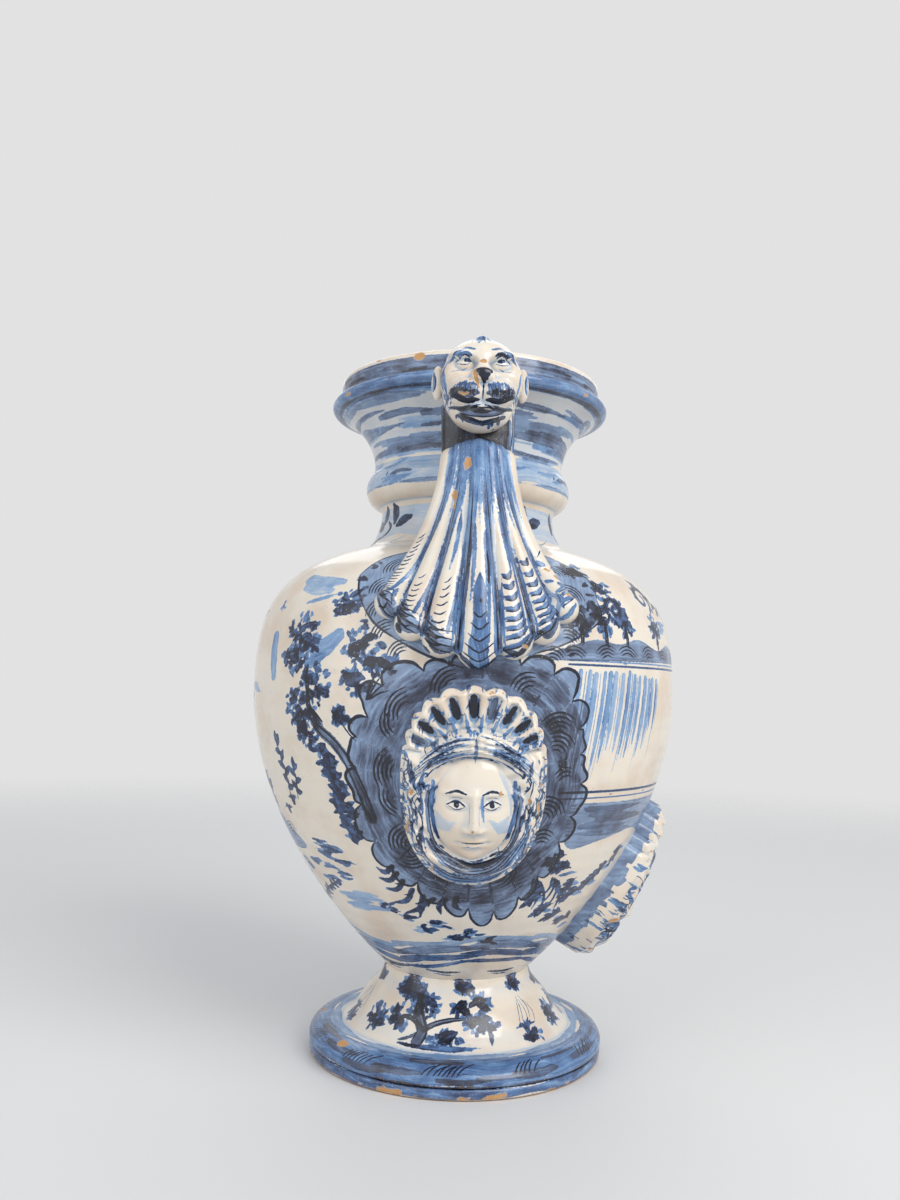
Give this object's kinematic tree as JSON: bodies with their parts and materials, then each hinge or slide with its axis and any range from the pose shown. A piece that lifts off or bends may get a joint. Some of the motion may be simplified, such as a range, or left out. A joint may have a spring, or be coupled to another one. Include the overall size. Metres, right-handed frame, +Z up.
{
  "type": "majolica vase",
  "caption": "Footed ovoid vase with a flanged trumpet mouth, shell-rooted handles ending in animal heads, relief masks and blue painted landscapes on a cream glaze.",
  "frame": {"origin": "centre of the foot's standing ring, on the table", "axes": "+Z up the vase's axis, -Y towards the front with the painted label and the low mask, handles at -X and +X"},
  "size_m": [0.352, 0.3174, 0.5],
  "materials": {
    "body_glaze": "glossy tin glaze, cream white with cobalt brushwork",
    "foot_glaze": "glossy tin glaze, cream cone over a blue roll",
    "neck_glaze": "glossy tin glaze, pale blue wash over cream",
    "mouth_glaze": "glossy tin glaze, blue-grey brush bands",
    "strap_glaze": "glossy tin glaze, dark blue",
    "shell_glaze": "glossy tin glaze, cream ridges and blue grooves",
    "head_glaze": "glossy tin glaze, cream with blue and near-black lines",
    "mask_glaze": "glossy tin glaze, cream with blue shading and buff chips"
  },
  "bodies": {
    "root": {"foot": "foot_glaze", "belly_lower": "body_glaze", "belly_upper": "body_glaze", "neck": "neck_glaze", "collar_ring": "neck_glaze", "mouth": "mouth_glaze", "handle_strap_left": "strap_glaze", "handle_strap_right": "strap_glaze", "handle_shell_left": "shell_glaze", "handle_shell_right": "shell_glaze", "handle_head_left": "head_glaze", "handle_head_right": "head_glaze", "handle_ear_left_a": "head_glaze", "handle_ear_left_b": "head_glaze", "handle_ear_right_a": "head_glaze", "handle_ear_right_b": "head_glaze", "mask_left": "mask_glaze", "mask_right": "mask_glaze", "mask_front": "mask_glaze"}
  },
  "joints": []
}
